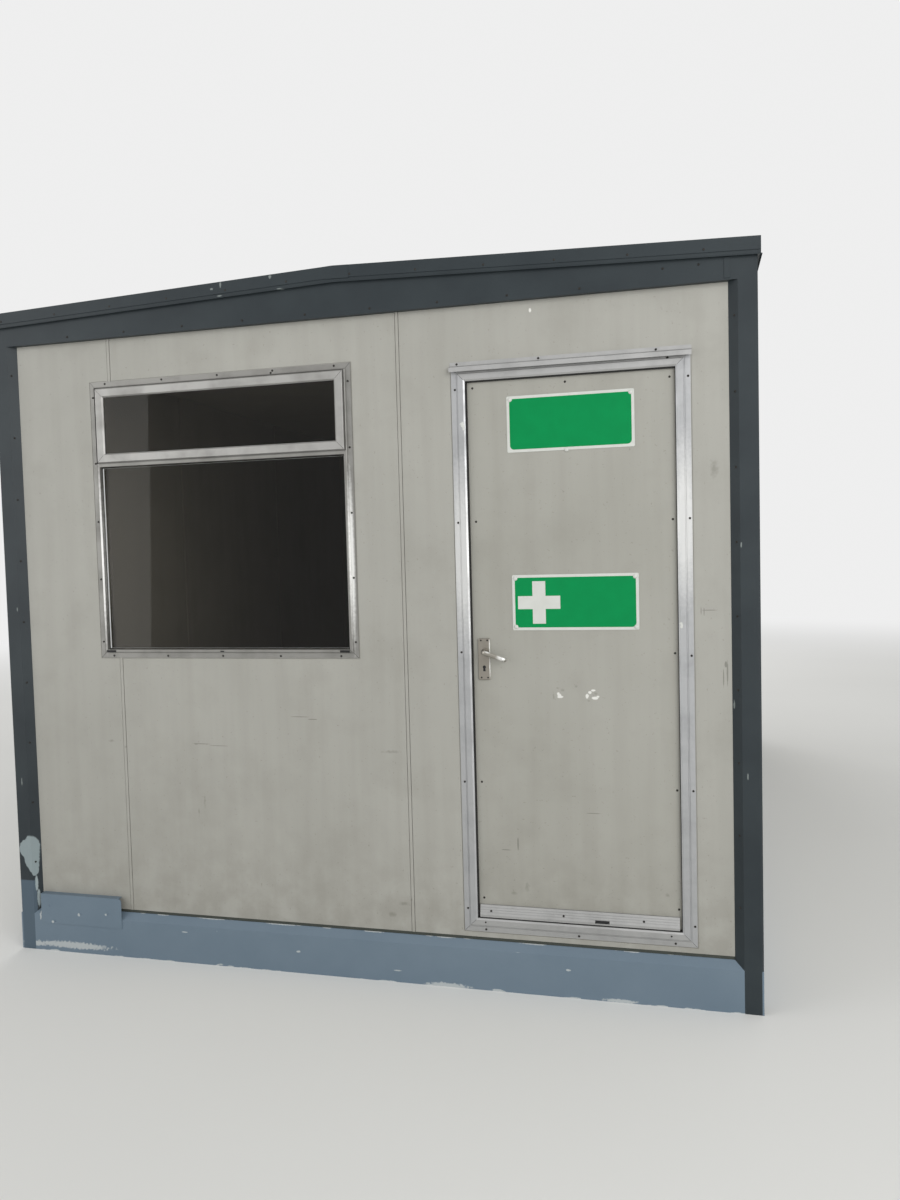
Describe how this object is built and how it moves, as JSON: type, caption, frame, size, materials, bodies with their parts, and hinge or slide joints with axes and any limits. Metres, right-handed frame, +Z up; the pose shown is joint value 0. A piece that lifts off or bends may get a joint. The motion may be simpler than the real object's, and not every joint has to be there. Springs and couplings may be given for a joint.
{
  "type": "portable site cabin",
  "caption": "Portable site cabin on a steel base, with a panelled front that holds a wide window with a vent and a hinged door, under a shallow ridged roof.",
  "frame": {"origin": "on the ground at the middle of the base, on the underside of the middle floor bearer", "axes": "+X to the right seen from the front, +Y into the cabin from the front wall to the back wall, +Z up"},
  "size_m": [3.005, 5.028, 2.683],
  "materials": {
    "frame_paint": "dark green-grey satin paint, dusty and worn at the edges",
    "base_paint": "blue-grey brushed paint, chipped along the edges",
    "wall_panel": "warm light grey coated steel panel, dull with faint grime",
    "roof_sheet": "grey coated roof sheet",
    "timber": "sawn softwood",
    "floor_board": "dark sealed board",
    "ceiling_board": "off-white faced board",
    "mill_aluminium": "mill-finish extrusion, dull and slightly stained",
    "window_pane": "clear float glass",
    "door_skin": "warm light grey coated sheet, slightly darker than the walls",
    "handle_metal": "satin metal, worn bright at the grip",
    "hinge_steel": "zinc-plated steel"
  },
  "bodies": {
    "cabin": {"post_front_left": "frame_paint", "post_front_right": "frame_paint", "post_back_left": "frame_paint", "post_back_right": "frame_paint", "gable_beam_front": "frame_paint", "gable_beam_back": "frame_paint", "eaves_beam_left": "frame_paint", "eaves_beam_right": "frame_paint", "verge_trim_front": "frame_paint", "verge_trim_back": "frame_paint", "eaves_trim_left": "frame_paint", "eaves_trim_right": "frame_paint", "base_rail_front": "base_paint", "base_rail_back": "base_paint", "base_rail_left": "base_paint", "base_rail_right": "base_paint", "floor_bearers": "base_paint", "foot_plate": "base_paint", "front_wall_left": "wall_panel", "front_wall_window": "wall_panel", "front_wall_door_side": "wall_panel", "front_wall_door_end": "wall_panel", "front_wall_door_head": "wall_panel", "front_wall_door_foot": "wall_panel", "left_wall": "wall_panel", "right_wall": "wall_panel", "back_wall": "wall_panel", "seam_strips": "wall_panel", "roof_panel_left": "roof_sheet", "roof_panel_right": "roof_sheet", "ridge_cap": "roof_sheet", "floor_joists": "timber", "roof_joists": "timber", "floor_deck": "floor_board", "ceiling_board": "ceiling_board", "window_frame": "mill_aluminium", "window_transom": "mill_aluminium", "vent_sash": "mill_aluminium", "door_jamb_left": "mill_aluminium", "door_jamb_right": "mill_aluminium", "door_head": "mill_aluminium", "door_sill": "mill_aluminium", "door_drip_bar": "mill_aluminium", "vent_glass": "window_pane", "window_glass": "window_pane", "hinges_frame": "hinge_steel"},
    "door": {"door_leaf": "door_skin", "door_weather_bar": "mill_aluminium", "handle_plate_outside": "handle_metal", "handle_plate_inside": "handle_metal", "hinges_leaf": "hinge_steel"},
    "lever": {"door_lever": "handle_metal"}
  },
  "joints": [
    {"name": "door_hinge", "type": "hinge", "parent": "cabin", "child": "door", "pos_m": [1.233, -2.408, 1.19], "axis": [0, 0, -1], "range_deg": [0, 90]},
    {"name": "lever_turn", "type": "hinge", "parent": "door", "child": "lever", "pos_m": [0.5265, -2.475, 1.256], "axis": [0, 1, 0], "range_deg": [0, 35], "stiffness_Nm_per_rad": 2, "springref_deg": -8.59}
  ]
}
